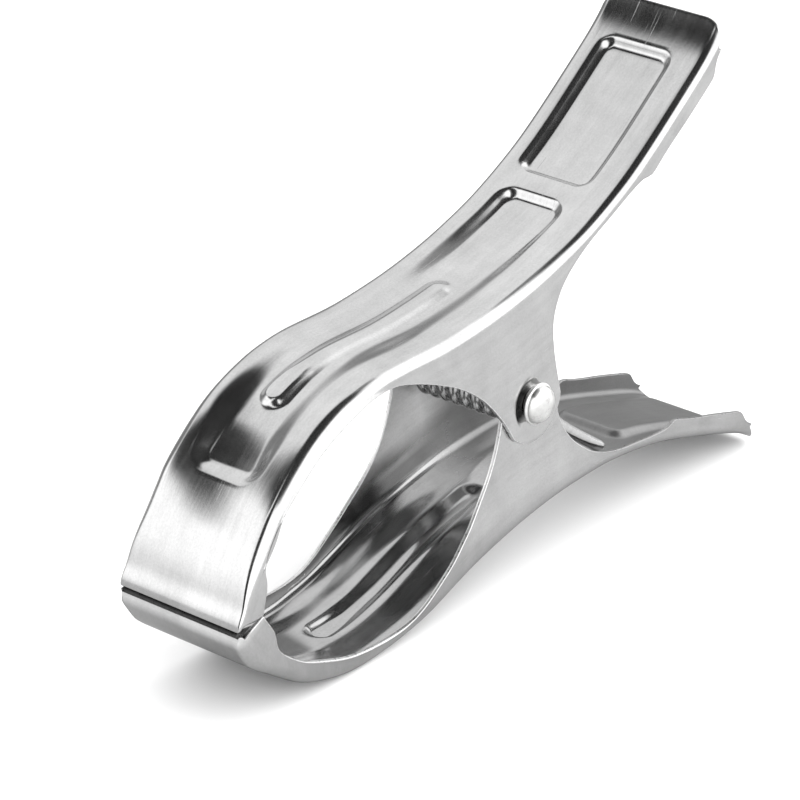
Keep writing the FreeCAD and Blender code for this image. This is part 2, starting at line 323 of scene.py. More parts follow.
def edge_curve(front, back):
    """Side view of the free edge: jaw, round ear, handle."""
    front_line = spline(np.array(front) * UNIT, 900)
    back_line = spline(np.array(back) * UNIT, 500)
    start = math.atan2(front_line[-1][1], front_line[-1][0])
    end = math.atan2(back_line[0][1], back_line[0][0])
    start_radius = math.hypot(*front_line[-1])
    end_radius = math.hypot(*back_line[0])
    part = np.linspace(0, 1, 400)
    angle = start + (end - start) * part
    # the radius settles from its neighbours over the first and last fifth
    radius = (LUG_RADIUS + (start_radius - LUG_RADIUS) * (1 - smooth(part * 5))
              + (end_radius - LUG_RADIUS) * smooth(part * 5 - 4))
    lug = np.c_[radius * np.cos(angle), radius * np.sin(angle)]
    grip = spline(np.array(GRIP) * UNIT, 300)
    grip_end = spline(np.array(GRIP_END) * UNIT, 120)
    line = np.vstack([front_line, lug[1:], back_line[1:], grip[1:], grip_end[1:]])
    line = resample(line, lambda total: np.arange(0, total, 0.05))
    # softens the joins
    relax(line, passes=40)
    return line


def nearest(line, x, z):
    """Index of the point of a line nearest to (x, z), given in UNITs."""
    return int(np.argmin((line[:, 0] - x * UNIT) ** 2 + (line[:, 1] - z * UNIT) ** 2))


class Edge:
    """Free edge of one shell's flanges at each web station, with its outward direction."""

    def __init__(self, front, back, belly):
        self.belly = belly
        line = edge_curve(front, back)
        run = lengths(line)
        tangent = unit_rows(np.gradient(line, run, axis=0))
        web_ties, edge_ties = [0.0], [0.0]
        for web_x, web_z, edge_x, edge_z in TIES:
            web_ties.append(WEB_RUN[nearest(WEB_LINE, web_x, web_z)])
            edge_ties.append(run[nearest(line, edge_x, edge_z)])
        web_ties.append(WEB_LENGTH)
        edge_ties.append(run[-1])
        place = np.interp(STATIONS, web_ties, edge_ties)
        self.x = np.interp(place, run, line[:, 0])
        self.z = np.interp(place, run, line[:, 1])
        out_x = np.interp(place, run, tangent[:, 1])
        out_z = np.interp(place, run, -tangent[:, 0])
        size = np.hypot(out_x, out_z)
        self.out_x, self.out_z = out_x / size, out_z / size


# --------------------------------------------------------------- sheet surfaces
def bend_radius(along):
    """Outside radius of the long bends: sharp at the jaw tip, full on the handle."""
    return 0.45 + 1.50 * smooth(along / 14.0) - 0.35 * smooth((along - station_at(0.1)) / 16.0)


def flange_lean(along):
    """How far the narrow belly flange stops short of square, in radians."""
    return (math.radians(22) * smooth((along - station_at(-2.67)) / 7.0)
            * smooth((station_at(-1.22) - along) / 12.0))


def lower_fullness(along):
    """Where the lower jaw is drawn deeper than the upper one, 0 to 1."""
    return smooth(along / 4.6) * (1 - smooth((along - 10.0) / 33.0))


def fit_ends(y_out, depth, inset):
    """Stations of one column, fitted to the parting plane and the rounded handle end."""
    jaw_reach, handle_reach = 7.0, 9.0
    near_tip = WEB_RUN < 6
    height = WEB_LINE[:, 1] - WEB_TANGENT[:, 0] * depth
    first = np.interp(JAW_GAP + inset, height[near_tip], WEB_RUN[near_tip])
    past = max(0.0, y_out - (HALF - END_CORNER))
    if y_out > HALF - 0.01:
        last = WEB_LENGTH - END_CORNER - inset * 0.3
    else:
        rise = math.sqrt(max(0.0, END_CORNER ** 2 - past * past))
        last = WEB_LENGTH - END_CORNER + rise - inset
    along = STATIONS.copy()
    jaw = STATIONS < jaw_reach
    along[jaw] = first + STATIONS[jaw] * (jaw_reach - first) / jaw_reach
    start = WEB_LENGTH - handle_reach
    handle = STATIONS > start
    along[handle] = start + (STATIONS[handle] - start) * (last - start) / handle_reach
    return along


def column_ends(kind, place, depth, inset):
    if kind == "web":
        return fit_ends(abs(place * (HALF - END_BEND) / GRID_HALF), depth, inset)
    if kind == "bend":
        angle = place * math.pi / 2
        return fit_ends(HALF - END_BEND + END_BEND * math.sin(angle),
                        END_BEND - (END_BEND - depth) * math.cos(angle), inset)
    return fit_ends(HALF, END_BEND, inset)


def deepen_belly(points, along, belly, depth):
    """Draws the lower jaw deeper and pushes its lip forward, towards -X."""
    keep = np.array([1 - place if kind == "flange" else 1.0 for kind, _, place in COLUMNS])
    points[:, :, 2] += belly * lower_fullness(along) * keep[None, :]
    lip = np.array([{"web": 1.0, "bend": (1 - place) ** 2, "flange": 0.0}[kind]
                    for kind, _, place in COLUMNS])[None, :]
    points[:, :, 0] -= 1.15 * smooth(along / 1.9) * (1 - smooth((along - 2.5) / 9.0)) * lip
    # the tip itself rises on the outer face only
    points[:, :, 2] += 0.70 * (1 - smooth(along / 2.0)) * lip * (1 - depth / SHEET)


def sheet_surface(depth, inset, die_shift, edge):
    """Grid of one face of the sheet, `depth` in from the outside.

    Returns points, outward normals and developed places (along, across).
    """
    points = np.zeros((ROW_COUNT, COLUMN_COUNT, 3))
    normals = np.zeros((ROW_COUNT, COLUMN_COUNT, 3))
    flat = np.zeros((ROW_COUNT, COLUMN_COUNT, 2))
    edge_x = edge.x - edge.out_x * inset
    edge_z = edge.z - edge.out_z * inset
    edge_z[0] = JAW_GAP + inset
    edge_z = np.where(STATIONS < 6, np.maximum(edge_z, JAW_GAP + inset), edge_z)

    for j, (kind, side, place) in enumerate(COLUMNS):
        along = column_ends(kind, place, depth, inset)
        radius = bend_radius(along)
        lean = flange_lean(along)
        cos_lean, sin_lean = np.cos(lean), np.sin(lean)
        x, z, tan_x, tan_z = web_at(along)
        # where the bend ends in side view, and how far the flange runs from there
        drop = radius * (1 - sin_lean)
        bend_x, bend_z = x + tan_z * drop, z - tan_x * drop
        run = np.hypot(edge_x - bend_x, edge_z - bend_z)
        # where the bend starts across the web
        bend_y = HALF - radius * cos_lean - run * sin_lean / cos_lean
        if kind == "web":
            y = place / GRID_HALF * bend_y
            points[:, j] = np.c_[x + tan_z * depth, y, z - tan_x * depth]
            normals[:, j] = np.c_[-tan_z, np.zeros(ROW_COUNT), tan_x]
            across = y
        elif kind == "bend":
            angle = place * (math.pi / 2 - lean)
            inner = radius - depth
            down = radius - inner * np.cos(angle)
            points[:, j] = np.c_[x + tan_z * down, side * (bend_y + inner * np.sin(angle)),
                                 z - tan_x * down]
            normals[:, j] = np.c_[-tan_z * np.cos(angle), side * np.sin(angle),
                                  tan_x * np.cos(angle)]
            across = side * (bend_y + radius * angle)
        else:
            flange_y = HALF - run * (1 - place) * sin_lean / cos_lean
            normal = np.c_[(bend_x - edge_x) / run * sin_lean, side * cos_lean,
                           (bend_z - edge_z) / run * sin_lean]
            points[:, j] = np.c_[bend_x + (edge_x - bend_x) * place, side * flange_y,
                                 bend_z + (edge_z - bend_z) * place] - normal * depth
            normals[:, j] = normal
            across = side * (bend_y + radius * (math.pi / 2 - lean) + run * place / cos_lean)
        flat[:, j] = np.c_[along, across]

    if edge.belly:
        deepen_belly(points, flat[:, :, 0], edge.belly, depth)
    pressed = pressing(flat[:, :, 0], flat[:, :, 1], die_shift) * IS_WEB[None, :]
    points -= normals * pressed[:, :, None]
    return points, normals, flat


def set_ears(points, is_lower):
    """Moves the flanges inward so the lower ears pass inside the upper ones."""
    x, z = points[:, :, 0], points[:, :, 2]
    radius = np.hypot(x, z)
    if is_lower:
        lean = smooth((0.78 * UNIT - z) / (0.38 * UNIT)) * smooth((x + 1.62 * UNIT) / 3.0)
        inward = EAR_STEP * lean + EAR_RELIEF * smooth((5.0 - radius) / 1.0)
    else:
        inward = EAR_DISH * smooth((4.6 - radius) / 1.3)
    points[:, :, 1] -= FLANGE_SIDE[None, :] * inward


def draw_to_hole(outer, inner):
    """Draws the grid points near the rivet hole onto its wall, on both faces alike."""
    radius = np.hypot(outer[:, :, 0], outer[:, :, 2])
    pull = IS_FLANGE[None, :] & (np.abs(radius - HOLE_RADIUS) < 0.21)
    scale = np.where(pull, HOLE_RADIUS / np.maximum(radius, 1e-6), 1.0)
    for axis in (0, 2):
        outer[:, :, axis] *= scale
        inner[:, :, axis] = np.where(pull, outer[:, :, axis], inner[:, :, axis])


# ---------------------------------------------------------------- shell meshes
def rim_directions(row, column, point, normal, place, edge):
    """Unit vectors out over the rim and into the sheet at one rim point."""
    def along_sheet(vector):
        vector = np.array(vector)
        return vector - normal * np.dot(vector, normal)

    into = -normal
    if row == 0:
        out = (0, 0, -1)
        into = np.array([-normal[0], -normal[1], 0.0])
    elif row == LAST_ROW:
        _, _, tan_x, tan_z = web_at(min(WEB_LENGTH, place[0]))
        corner = min(1.0, (abs(point[1]) - HALF + END_CORNER) / END_CORNER)
        kind = COLUMNS[column][0]
        if corner <= 0:
            out = (tan_x, 0, tan_z)
        elif kind == "web":
            ahead = math.sqrt(max(0.0, 1 - corner * corner))
            out = (tan_x * ahead, math.copysign(corner, place[1]), tan_z * ahead)
        elif kind == "bend":
            out = along_sheet((tan_x, 0.0, tan_z))
        else:
            out = (edge.out_x[row] + tan_x, 0, edge.out_z[row] + tan_z)
    else:
        out = along_sheet((edge.out_x[row], 0, edge.out_z[row]))
    return out / np.linalg.norm(out), into / np.linalg.norm(into)


def rim_rings(outer, inner, normals, flat, edge):
    """Six rings of points that round the rim over from the outer to the inner face."""
    pairs = [rim_directions(i, j, outer[i, j], normals[i, j], flat[i, j], edge)
             for i, j in RIM]
    out = np.array([pair[0] for pair in pairs])
    into = np.array([pair[1] for pair in pairs])
    rings = []
    for face, radius, sign, angles in ((outer, OUTER_ROUND, 1, (30, 60, 90)),
                                       (inner, INNER_ROUND, -1, (90, 60, 30))):
        start = np.array([face[i, j] for i, j in RIM])
        for angle in np.radians(angles):
            rings.append(start + out * radius * math.sin(angle)
                         + sign * into * radius * (1 - math.cos(angle)))
    return rings


def shell_faces(outer, ring_count):
    """Both faces without the rivet holes, the hole walls and the rim."""
    grid_size = ROW_COUNT * COLUMN_COUNT
    ids = np.arange(grid_size).reshape(ROW_COUNT, COLUMN_COUNT)
    quads = np.stack([ids[:-1, :-1], ids[1:, :-1], ids[1:, 1:], ids[:-1, 1:]], -1)
    quads = quads.reshape(-1, 4)
    centre = outer.reshape(-1, 3)[quads].mean(1)
    in_hole = (IS_FLANGE[quads % COLUMN_COUNT].all(1)
               & (np.hypot(centre[:, 0], centre[:, 2]) < HOLE_RADIUS - 0.02))
    kept = quads[~in_hole]
    # hole walls stand on the boundary of the removed quads
    sides = [pair for face in quads[in_hole].tolist()
             for pair in zip(face, face[1:] + face[:1])]
    removed = set(sides)
    walls = [(start, end, end + grid_size, start + grid_size)
             for start, end in sides if (end, start) not in removed]
    rim_ids = np.array([i * COLUMN_COUNT + j for i, j in RIM])
    rings = 2 * grid_size + np.arange(ring_count * len(RIM)).reshape(ring_count, -1)
    chain = np.vstack([rim_ids, rings, grid_size + rim_ids])
    following = np.roll(chain, -1, axis=1)
    rim = np.stack([chain[:-1], following[:-1], following[1:], chain[1:]], -1)
    rim = rim.transpose(1, 0, 2).reshape(-1, 4)
    return np.vstack([kept[:, ::-1], kept + grid_size, np.array(walls), rim])


def link_object(name, data):
    obj = bpy.data.objects.new(name, data)
    bpy.context.scene.collection.objects.link(obj)
    return obj


def new_mesh(name, verts, faces):
    """Mesh from points in mm about the rivet axis."""
    mesh = bpy.data.meshes.new(name)
    verts = (np.asarray(verts) + np.array([PIVOT_X, 0, 0])) * MM
    mesh.from_pydata(verts.tolist(), [], faces)
    mesh.update()
    return mesh


def shade_smooth(mesh):
    mesh.polygons.foreach_set("use_smooth", [True] * len(mesh.polygons))


def fix_normals(mesh, prepare=None):
    """Turns all faces outward, after an optional step on the editable mesh."""
    editable = bmesh.new()
    editable.from_mesh(mesh)
    if prepare:
        prepare(editable)
    bmesh.ops.recalc_face_normals(editable, faces=editable.faces)
    editable.to_mesh(mesh)
    editable.free()
    mesh.update()


def clean_shell(editable):
    """Drops collapsed quads at the corners and gives the rim the second material."""
    merge = 2e-7
    bmesh.ops.remove_doubles(editable, verts=editable.verts, dist=merge)
    bmesh.ops.dissolve_degenerate(editable, dist=merge, edges=editable.edges)
    editable.faces.ensure_lookup_table()
    layer = editable.verts.layers.float_vector.get("dev")
    for face in editable.faces:
        if sum(vert[layer][2] > 0.0015 for vert in face.verts) >= 2:
            face.material_index = 1


def make_shell(name, edge, die_shift, is_lower):
    """One pressed shell; the lower one is built upright and then mirrored in z."""
    outer, normals, flat_outer = sheet_surface(0.0, OUTER_ROUND, die_shift, edge)
    inner, _, flat_inner = sheet_surface(SHEET, INNER_ROUND, die_shift, edge)
    set_ears(outer, is_lower)
    set_ears(inner, is_lower)
    draw_to_hole(outer, inner)
    rings = rim_rings(outer, inner, normals, flat_outer, edge)
    verts = np.vstack([outer.reshape(-1, 3), inner.reshape(-1, 3)] + rings)
    faces = shell_faces(outer, len(rings))
    if is_lower:
        verts = verts * np.array([1, 1, -1])
        faces = faces[:, ::-1]
    mesh = new_mesh(name, verts, faces.tolist())

    # developed place (along, across) and face: 0 outer, 1 inner, 2 rim
    rim_flat = np.array([flat_outer[i, j] for i, j in RIM])
    flat = np.vstack([flat_outer.reshape(-1, 2), flat_inner.reshape(-1, 2)]
                     + [rim_flat] * len(rings))
    grid_size = ROW_COUNT * COLUMN_COUNT
    face = np.repeat([0.0, 1.0, 2.0], [grid_size, grid_size, len(rings) * len(RIM)])
    attribute = mesh.attributes.new("dev", "FLOAT_VECTOR", "POINT")
    attribute.data.foreach_set("vector", (np.c_[flat, face] * MM).ravel())
    shade_smooth(mesh)
    fix_normals(mesh, prepare=clean_shell)
    return link_object(name, mesh)


# ----------------------------------------------------------------------- rivet
def rivet_profile():
    """(radius, y) from the -Y dome to the +Y dome."""
    shank, collar = 1.9, 2.6
    head, dome_radius, dome_height = 3.28, 2.98, 1.70
    ear = HALF - EAR_DISH + 0.02
    rim = HALF + 0.50
    top = rim + 0.45
    half = [(shank, y) for y in (0.0, 3.0, 6.0, 9.0, ear - 0.05)]
    # collar against the ear
    half += [(1.93, ear), (2.45, ear), (2.58, ear + 0.03), (collar, ear + 0.12),
             (collar, rim - 0.1), (2.64, rim - 0.03), (2.75, rim)]
    # rounded disc under the dome
    half += [(head - 0.16, rim), (head - 0.06, rim + 0.04), (head - 0.01, rim + 0.13),
             (head, rim + 0.22), (head - 0.01, top - 0.12), (head - 0.05, top - 0.05),
             (head - 0.13, top), (head - 0.22, top + 0.03)]
    # dome, full at the shoulder and flatter on top
    for angle in np.radians(np.linspace(3, 88, 22)):
        half.append((dome_radius * math.cos(angle) ** 0.86,
                     top + 0.02 + (dome_height - 0.03) * math.sin(angle) ** 1.06))
    return [(radius, -y) for radius, y in half[::-1]] + half[1:]


def make_lathe(name, profile, segments):
    """Revolves (radius, y) about the rivet axis."""
    angles = np.linspace(0, 2 * math.pi, segments, endpoint=False)
    verts = [(radius * math.cos(angle), y, radius * math.sin(angle))
             for radius, y in profile for angle in angles]
    faces = []
    for i in range(len(profile) - 1):
        low, high = i * segments, (i + 1) * segments
        for k in range(segments):
            after = (k + 1) % segments
            faces.append((low + k, low + after, high + after, high + k))
    first_pole, last_pole = len(verts), len(verts) + 1
    verts += [(0, profile[0][1], 0), (0, profile[-1][1], 0)]
    last_ring = (len(profile) - 1) * segments
    for k in range(segments):
        after = (k + 1) % segments
        faces.append((after, k, first_pole))
        faces.append((last_ring + k, last_ring + after, last_pole))
    mesh = new_mesh(name, verts, faces)
    fix_normals(mesh)
    shade_smooth(mesh)
    return link_object(name, mesh)


# ---------------------------------------------------------------------- spring
COIL_TURNS, COIL_PITCH, COIL_RADIUS = 7.75, 2.16, 3.3
WIRE_RADIUS, WIRE_SEGMENTS, WIRE_SAMPLES = 1.0, 18, 620
# side view of the -Y leg up to the coil, (x, z) in UNITs
SPRING_LEG = [(0.790, -0.882), (0.727, -0.819), (0.635, -0.726), (0.535, -0.623),
              (0.425, -0.503), (0.315, -0.368), (0.225, -0.228), (0.170, -0.101),
              (0.133, 0.004)]


def spring_path():
    """Centre line: leg, coil along Y, and the same leg turned half round X."""
    start_angle = math.radians(45)
    start_y = -COIL_PITCH * COIL_TURNS / 2

    def coil_at(turned):
        return np.c_[COIL_RADIUS * np.cos(start_angle + turned),
                     start_y + turned / (2 * math.pi) * COIL_PITCH,
                     COIL_RADIUS * np.sin(start_angle + turned)]

    last = len(SPRING_LEG) - 1
    leg = [(x * UNIT, start_y - 0.02 * (last - k), z * UNIT)
           for k, (x, z) in enumerate(SPRING_LEG)]
    first_turn = coil_at(np.radians([0, 18, 36, 54]))
    lead = spline(np.vstack([leg, first_turn]), 130)
    # the lead stops where the coil starts
    lead = lead[:np.linalg.norm(lead - first_turn[0], axis=1).argmin()]
    coil = coil_at(np.linspace(0, 1, int(COIL_TURNS * 40) + 1) * COIL_TURNS * 2 * math.pi)
    tail = (lead * np.array([1, -1, -1]))[::-1]
    path = resample(np.vstack([lead, coil, tail]),
                    lambda total: np.linspace(0, total, WIRE_SAMPLES))
    relax(path, passes=4)
    return path


def make_spring(name):
    path = spring_path()
    tangent = unit_rows(np.gradient(path, axis=0))
    # side vectors carried along the wire without twist
    side = np.cross(tangent[0], (0, 1, 0))
    side /= np.linalg.norm(side)
    sides = []
    for direction in tangent:
        side = side - direction * np.dot(side, direction)
        side /= np.linalg.norm(side)
        sides.append(side)
    # (sample, shift along the wire, radius); both cut ends are chamfered
    last = len(path) - 1
    cut, shoulder, chamfer = 0.80 * WIRE_RADIUS, 0.97 * WIRE_RADIUS, 0.16
    sections = [(0, 0.0, cut), (0, chamfer, shoulder)]
    sections += [(i, 0.0, WIRE_RADIUS) for i in range(2, last - 1)]
    sections += [(last, -chamfer, shoulder), (last, 0.0, cut)]
    verts = []
    for i, shift, radius in sections:
        centre = path[i] + tangent[i] * shift
        other = np.cross(tangent[i], sides[i])
        for k in range(WIRE_SEGMENTS):
            angle = 2 * math.pi * k / WIRE_SEGMENTS
            verts.append(centre + (sides[i] * math.cos(angle) + other * math.sin(angle)) * radius)
    faces = []
    last_ring = (len(sections) - 1) * WIRE_SEGMENTS
    for ring in range(0, last_ring, WIRE_SEGMENTS):
        following = ring + WIRE_SEGMENTS
        for k in range(WIRE_SEGMENTS):
            after = (k + 1) % WIRE_SEGMENTS
            faces.append((ring + k, ring + after, following + after, following + k))
    faces.append(tuple(range(WIRE_SEGMENTS))[::-1])
    faces.append(tuple(last_ring + k for k in range(WIRE_SEGMENTS)))
    mesh = new_mesh(name, verts, faces)
    fix_normals(mesh)
    shade_smooth(mesh)
    return link_object(name, mesh)


# ----------------------------------------------------------------- shader tools
class Signal:
    """A shader output; arithmetic on it adds Math nodes."""

    def __init__(self, graph, socket):
        self.graph = graph
        self.socket = socket

    def __add__(self, other):
        return self.graph.math("ADD", self, other)

    def __radd__(self, other):
        return self.graph.math("ADD", other, self)

    def __sub__(self, other):
        return self.graph.math("SUBTRACT", self, other)

    def __rsub__(self, other):
        return self.graph.math("SUBTRACT", other, self)

    def __mul__(self, other):
        return self.graph.math("MULTIPLY", self, other)

    def __rmul__(self, other):
        return self.graph.math("MULTIPLY", other, self)

    def __truediv__(self, other):
        return self.graph.math("DIVIDE", self, other)

    def __rtruediv__(self, other):
        return self.graph.math("DIVIDE", other, self)

    def __abs__(self):
        return self.graph.math("ABSOLUTE", self)


class Graph:
    """Builds a node tree; inputs are Signals or plain values."""

    def __init__(self, owner):
        owner.use_nodes = True
        self.tree = owner.node_tree
        self.tree.nodes.clear()

    def add(self, kind, inputs, **settings):
        node = self.tree.nodes.new(kind)
        for key, value in settings.items():
            setattr(node, key, value)
        for key, value in inputs.items():
            if isinstance(value, Signal):
                self.tree.links.new(value.socket, node.inputs[key])
            else:
                node.inputs[key].default_value = value
        return node

    def node(self, kind, inputs=None, output=0, **settings):
        return Signal(self, self.add(kind, inputs or {}, **settings).outputs[output])

    def split(self, vector):
        node = self.add("ShaderNodeSeparateXYZ", {0: vector})
        return [Signal(self, socket) for socket in node.outputs]

    def math(self, operation, *values):
        return self.node("ShaderNodeMath", dict(enumerate(values)), operation=operation)

    def maximum(self, first, second):
        return self.math("MAXIMUM", first, second)

    def ramp(self, value, span, to=(0.0, 1.0)):
        """Linear from to[0] at span[0] to to[1] at span[1], held beyond."""
        return self.node("ShaderNodeMapRange", {
            "From Min": span[0], "From Max": span[1], "To Min": to[0], "To Max": to[1],
            "Value": value})

    def window(self, value, rise, fall=None):
        """Smooth step up over `rise` and, if given, down again over `fall`."""
        def step(span):
            return self.node("ShaderNodeMapRange", {
                "From Min": span[0], "From Max": span[1], "Value": value},
                interpolation_type="SMOOTHSTEP")
        if fall is None:
            return step(rise)
        return step(rise) * (1.0 - step(fall))

    def darken(self, level, mask, by):
        return level * (1.0 - mask * by)

    def noise(self, place, stretch=(1, 1, 1), turn=0.0, scale=1.0, detail=4.0, roughness=0.5):
        mapped = self.node("ShaderNodeMapping", {
            "Vector": place, "Rotation": (0, 0, turn), "Scale": stretch})
        return self.node("ShaderNodeTexNoise", {
            "Vector": mapped, "Scale": scale, "Detail": detail, "Roughness": roughness},
            output="Fac")

    def mix(self, factor, first, second, data_type="RGBA"):
        return self.node("ShaderNodeMix", {"Factor": factor, "A": first, "B": second},
                         output="Result", data_type=data_type)

    def scale_colour(self, colour, amount):
        return self.node("ShaderNodeVectorMath", {0: colour, "Scale": amount},
                         operation="SCALE")

    def bump(self, height, strength, distance):
        return self.node("ShaderNodeBump", {
            "Strength": strength, "Distance": distance, "Height": height})

    def surface(self, shader_kind, inputs, output_kind="ShaderNodeOutputMaterial"):
        self.add(output_kind, {0: self.node(shader_kind, inputs)})


def object_place(graph):
    return graph.node("ShaderNodeTexCoord", output="Object")


# ------------------------------------------------------------- sheet material
# name: (stretch along, stretch across, turn, detail, roughness)
SHEET_NOISE = {
    "grain": (60, 1500, 0.0, 3.0, 0.55),        # long rolling grain
    "mottle": (160, 160, 0.0, 4.0, 0.6),
    "broad": (35, 60, 0.0, 2.0, 0.55),
    "fine": (1800, 2200, 0.0, 2.0, 0.55),
    "speck": (2600, 3000, 0.0, 2.0, 0.6),
    "cloud": (240, 110, 0.0, 4.0, 0.65),
    "rub": (110, 620, 0.85, 4.0, 0.6)}
SCRATCHES = ((0.35, 0.735), (-0.6, 0.745))      # (turn, noise threshold)


def scratch_mask(graph, place):
    """Sparse fine scratches at two angles."""
    masks = []
    for turn, threshold in SCRATCHES:
        noise = graph.noise(place, stretch=(70, 2600, 1), turn=turn, detail=1.0)
        masks.append(graph.ramp(noise, span=(threshold, threshold + 0.05)))
    return graph.maximum(*masks)


def painted_rivet_shadow(graph, x, z):
    """Painted shadow in the dish round the rivet, in two sectors on its jaw side, where the
    raised head shades the gap.
    """
    from_pivot = x - PIVOT_M
    radius = graph.math("SQRT", from_pivot * from_pivot + z * z)

    def toward(degrees):
        angle = math.radians(degrees)
        reach = from_pivot * math.cos(angle) + z * math.sin(angle)
        return reach / graph.maximum(radius, 0.0001)

    small = (graph.ramp(toward(160), span=(0.60, 0.85), to=(0.0, 0.95))
             * graph.ramp(radius, span=(0.00425, 0.00455), to=(1.0, 0.0)))
    wide = (graph.ramp(toward(128), span=(0.80, 0.93), to=(0.0, 0.60))
            * graph.ramp(radius, span=(0.0047, 0.0050), to=(1.0, 0.0)))
    return 1.0 - graph.maximum(small, wide)


def inside_shade(graph, along, across, z, is_inner):
    """Painted shade and light inside the pressing, set apart for camera rays and reflected rays,
    with painted shade just inside the closed tips and a painted highlight on the lower lip at the
    tips.
    """
    # painted shade: the inner faces are darkened to these levels
    painted_inside_level = 0.70
    web_level = painted_inside_level * 1.1
    # painted shade: darker again inside the handle
    grip = graph.ramp(along, span=(0.074, 0.086), to=(1.0, 0.58))
    direct = graph.node("ShaderNodeLightPath", output="Is Camera Ray")
    width = abs(across)
    # painted light and shade on the inner flanges as the camera sees them, darker near the bend
    # and brighter towards the free edge
    on_flange = (graph.ramp(width, span=(0.0120, 0.0128))
                 * graph.ramp(along, span=(0.074, 0.080), to=(1.0, 0.0)))
    flange_level = graph.ramp(width, span=(0.0150, 0.0205), to=(painted_inside_level * 0.50, 1.65))
    seen = web_level + on_flange * (flange_level - web_level)
    # level met by reflected light
    reflected = graph.ramp(along, span=(0.042, 0.056), to=(painted_inside_level * 0.5, painted_inside_level * 1.3))
    painted_inside_shade = grip * (direct * seen + (1.0 - direct) * reflected)
    shade = 1.0 + is_inner * (painted_inside_shade - 1.0)
    # painted shade just inside the closed tips
    shade = shade * (1.0 - is_inner * graph.ramp(along, span=(0.0015, 0.0045), to=(0.85, 0.0)))
    # painted highlight: the outside of the lower lip is brightened near the tip
    lip = (graph.ramp(along, span=(0.0007, 0.0021), to=(0.62, 0.0))
           * graph.ramp(z, span=(-0.0003, -0.0001), to=(1.0, 0.0)))
    return shade * (1.0 + lip * (1.0 - is_inner))


def sheet_material():
    """Cold-rolled stainless sheet: long grain, faint mottle, fine scratches."""
    grey, dark_share, light_share = 0.565, 0.84, 1.08
    roughness, roughness_spread = 0.16, 0.03
    material = bpy.data.materials.new("shell_sheet_steel")
    graph = Graph(material)
    place = graph.node("ShaderNodeAttribute", output="Vector", attribute_name="dev")
    noise = {name: graph.noise(place, stretch=(lengthwise, crosswise, 1), turn=turn,
                               detail=detail, roughness=rough)
             for name, (lengthwise, crosswise, turn, detail, rough) in SHEET_NOISE.items()}
    scratches = scratch_mask(graph, place)
    x, _, z = graph.split(object_place(graph))
    along, across, face = graph.split(place)
    is_inner = graph.ramp(face, span=(0.0008, 0.001))

    # weights of the textures in the colour
    tone = noise["broad"] * 0.20 + noise["mottle"] * 0.15
    tone = tone + (noise["speck"] * 0.20 + noise["cloud"] * 0.20)
    tone = tone + noise["rub"] * 0.25
    colour = graph.mix(graph.ramp(tone, span=(0.40, 0.60)),
                       (*[grey * dark_share] * 3, 1), (*[grey * light_share] * 3, 1))
    # painted shade and highlight from inside_shade, and painted shadow round the rivet,
    # multiplied into the sheet colour
    shade = inside_shade(graph, along, across, z, is_inner) * painted_rivet_shadow(graph, x, z)

    rough = graph.ramp(noise["grain"] * 0.45 + noise["mottle"] * 0.55, span=(0.35, 0.65),
                       to=(roughness - roughness_spread, roughness + roughness_spread))
    rough = rough + scratches * 0.12
    # duller inside the ears and along the inside of the handle
    ears = (graph.ramp(abs(across), span=(0.0155, 0.0200))
            * graph.ramp(along, span=(0.036, 0.046)))
    handle = graph.ramp(along, span=(0.076, 0.084), to=(0.0, 0.80))
    rough = rough + graph.maximum(ears, handle) * is_inner * 0.28

    # weights of the textures in the relief
    height = noise["grain"] * 0.45 + (noise["fine"] * 0.12 + scratches * -0.5)
    height = height + noise["mottle"] * 0.5
    graph.surface("ShaderNodeBsdfPrincipled", {
        "Base Color": graph.scale_colour(colour, shade), "Metallic": 1.0,
        "Roughness": rough, "Normal": graph.bump(height, strength=0.30, distance=0.00004)})
    return material


def metal_material(name, colour, roughness, spread, grain_scale, bump,
                   relief=0.00004, handle_shade=1.0, tip_shade=1.0):
    """Plain steel with a fine noise; if asked, painted shade darkens it on the handle and at the
    jaw tips.
    """
    material = bpy.data.materials.new(name)
    graph = Graph(material)
    place = object_place(graph)
    noise = graph.noise(place, scale=grain_scale)
    base = graph.mix(graph.ramp(noise, span=(0.35, 0.65)),
                     (*[channel * 0.85 for channel in colour], 1), (*colour, 1))
    x, _, _ = graph.split(place)
    # painted shade: darker on the handle past the rivet and at the jaw tips
    shade = (graph.ramp(x, span=(PIVOT_M + 0.007, PIVOT_M + 0.014), to=(1.0, handle_shade))
             * graph.ramp(x, span=(0.0010, 0.0028), to=(tip_shade, 1.0)))
    graph.surface("ShaderNodeBsdfPrincipled", {
        "Base Color": graph.scale_colour(base, shade), "Metallic": 1.0,
        "Roughness": graph.ramp(noise, span=(0.3, 0.7),
                                to=(roughness - spread, roughness + spread)),
        "Normal": graph.bump(noise, strength=bump, distance=relief)})
    return material


def table_material():
    """Pale table; reflections in the steel see it darker, a painted shadow that is deepest from
    the clip's near side towards +Y.
    """
    material = bpy.data.materials.new("pale_table")
    graph = Graph(material)
    glossy = graph.node("ShaderNodeLightPath", output="Is Glossy Ray")
    _, y, _ = graph.split(graph.node("ShaderNodeNewGeometry", output="Position"))
    # painted shadow in reflections: glossy rays see the table dimmer, darkest from y = -12 mm
    # towards +Y, under the clip
    level = graph.ramp(y, span=(-0.040, -0.012), to=(0.55, 0.40))
    mirrored = graph.node("ShaderNodeCombineXYZ", {0: level, 1: level, 2: level})
    graph.surface("ShaderNodeBsdfPrincipled", {
        "Base Color": graph.mix(glossy, (0.93, 0.93, 0.93, 1), mirrored),
        "Roughness": 0.75, "Specular IOR Level": 0.15})
    return material


